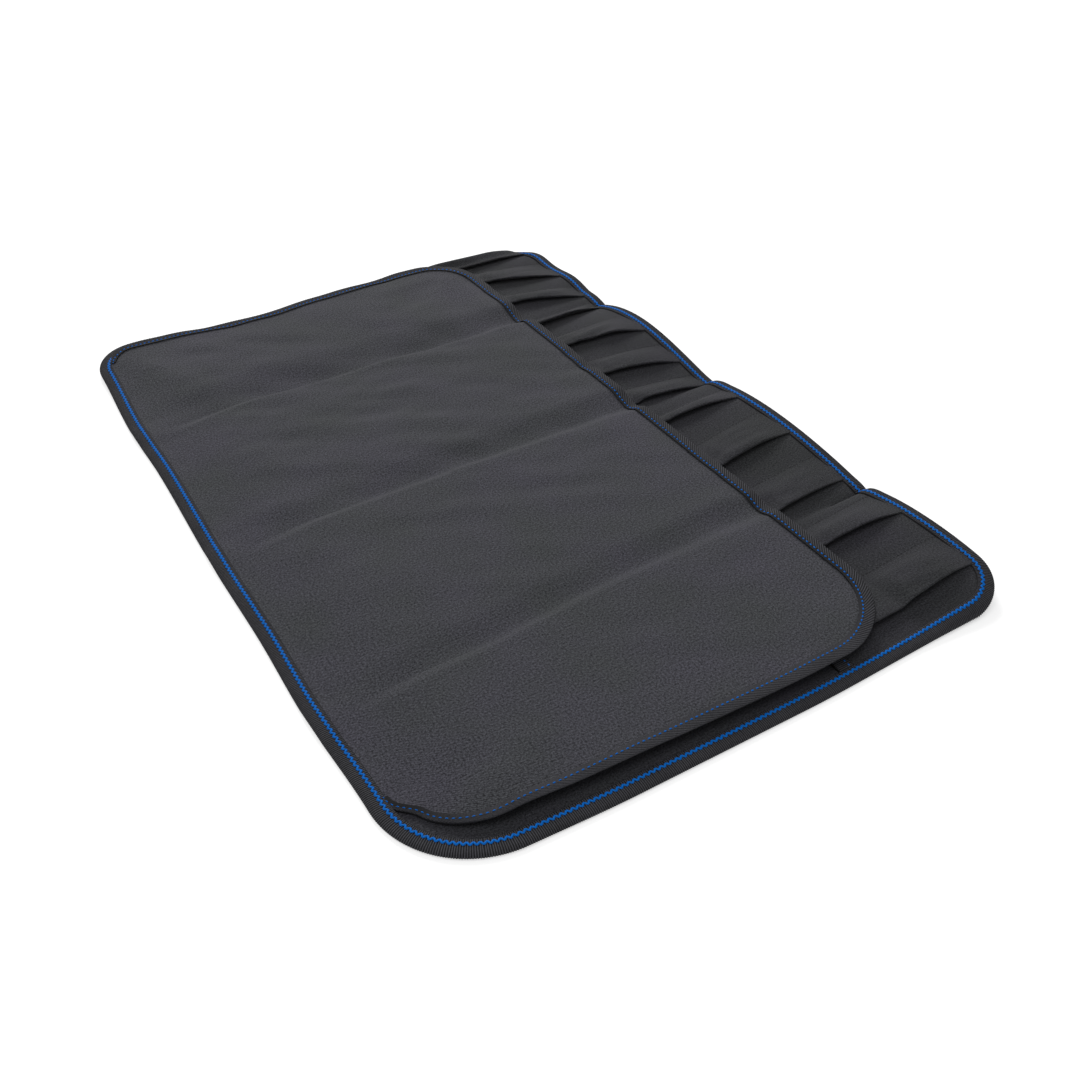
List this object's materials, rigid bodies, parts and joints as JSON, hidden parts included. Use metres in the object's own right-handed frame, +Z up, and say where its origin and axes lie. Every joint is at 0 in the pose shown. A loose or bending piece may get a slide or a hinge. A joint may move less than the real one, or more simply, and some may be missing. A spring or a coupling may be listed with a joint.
{
  "type": "folding tool roll",
  "caption": "Cloth roll with a row of pleated pockets under a sewn-on cover flap; folds in at three creases for storage.",
  "frame": {"origin": "middle of the underside, on the table, at the centre crease", "axes": "+X from the edge that the flap is sewn to towards the pockets' closed end, +Y along the roll across its creases, +Z up"},
  "size_m": [0.402, 0.576, 0.0123],
  "materials": {
    "back_cloth": "matt woven",
    "pocket_cloth": "matt woven",
    "flap_cloth": "matt woven",
    "edge_tape": "ribbed tape, blue thread"
  },
  "bodies": {
    "near_inner_panel": {"back_panel_2": "back_cloth", "edge_tape_2": "edge_tape", "mouth_tape_2": "edge_tape", "flap_hem_2": "flap_cloth", "pocket_front_03": "pocket_cloth", "pocket_front_04": "pocket_cloth", "pocket_front_05": "pocket_cloth", "pocket_front_06": "pocket_cloth"},
    "near_inner_flap": {"flap_panel_2": "flap_cloth", "flap_tape_2": "edge_tape"},
    "near_outer_panel": {"back_panel_1": "back_cloth", "edge_tape_1": "edge_tape", "mouth_tape_1": "edge_tape", "flap_hem_1": "flap_cloth", "pocket_front_01": "pocket_cloth", "pocket_front_02": "pocket_cloth"},
    "near_outer_flap": {"flap_panel_1": "flap_cloth", "flap_tape_1": "edge_tape"},
    "far_inner_panel": {"back_panel_3": "back_cloth", "edge_tape_3": "edge_tape", "mouth_tape_3": "edge_tape", "flap_hem_3": "flap_cloth", "pocket_front_07": "pocket_cloth", "pocket_front_08": "pocket_cloth", "pocket_front_09": "pocket_cloth", "pocket_front_10": "pocket_cloth"},
    "far_inner_flap": {"flap_panel_3": "flap_cloth", "flap_tape_3": "edge_tape"},
    "far_outer_panel": {"back_panel_4": "back_cloth", "edge_tape_4": "edge_tape", "mouth_tape_4": "edge_tape", "flap_hem_4": "flap_cloth", "pocket_front_11": "pocket_cloth", "pocket_front_12": "pocket_cloth"},
    "far_outer_flap": {"flap_panel_4": "flap_cloth", "flap_tape_4": "edge_tape"}
  },
  "joints": [
    {"name": "near_fold", "type": "hinge", "parent": "near_inner_panel", "child": "near_outer_panel", "pos_m": [0, -0.162, 0.01245], "axis": [-1, 0, 0], "range_deg": [0, 180]},
    {"name": "centre_fold", "type": "hinge", "parent": "near_inner_panel", "child": "far_inner_panel", "pos_m": [0, 0, 0.02505], "axis": [1, 0, 0], "range_deg": [0, 180]},
    {"name": "far_fold", "type": "hinge", "parent": "far_inner_panel", "child": "far_outer_panel", "pos_m": [0, 0.162, 0.01245], "axis": [1, 0, 0], "range_deg": [0, 180]},
    {"name": "near_inner_flap_lift", "type": "hinge", "parent": "near_inner_panel", "child": "near_inner_flap", "pos_m": [-0.19, -0.081, 0.0063], "axis": [0, -1, 0], "range_deg": [0, 180]},
    {"name": "near_outer_flap_lift", "type": "hinge", "parent": "near_outer_panel", "child": "near_outer_flap", "pos_m": [-0.19, -0.225, 0.0063], "axis": [0, -1, 0], "range_deg": [0, 180]},
    {"name": "far_inner_flap_lift", "type": "hinge", "parent": "far_inner_panel", "child": "far_inner_flap", "pos_m": [-0.19, 0.081, 0.0063], "axis": [0, -1, 0], "range_deg": [0, 180]},
    {"name": "far_outer_flap_lift", "type": "hinge", "parent": "far_outer_panel", "child": "far_outer_flap", "pos_m": [-0.19, 0.225, 0.0063], "axis": [0, -1, 0], "range_deg": [0, 180]}
  ],
  "couplings": [
    {"joint": "near_outer_flap_lift", "follows": "near_inner_flap_lift", "ratio": 1},
    {"joint": "far_inner_flap_lift", "follows": "near_inner_flap_lift", "ratio": 1},
    {"joint": "far_outer_flap_lift", "follows": "near_inner_flap_lift", "ratio": 1}
  ]
}
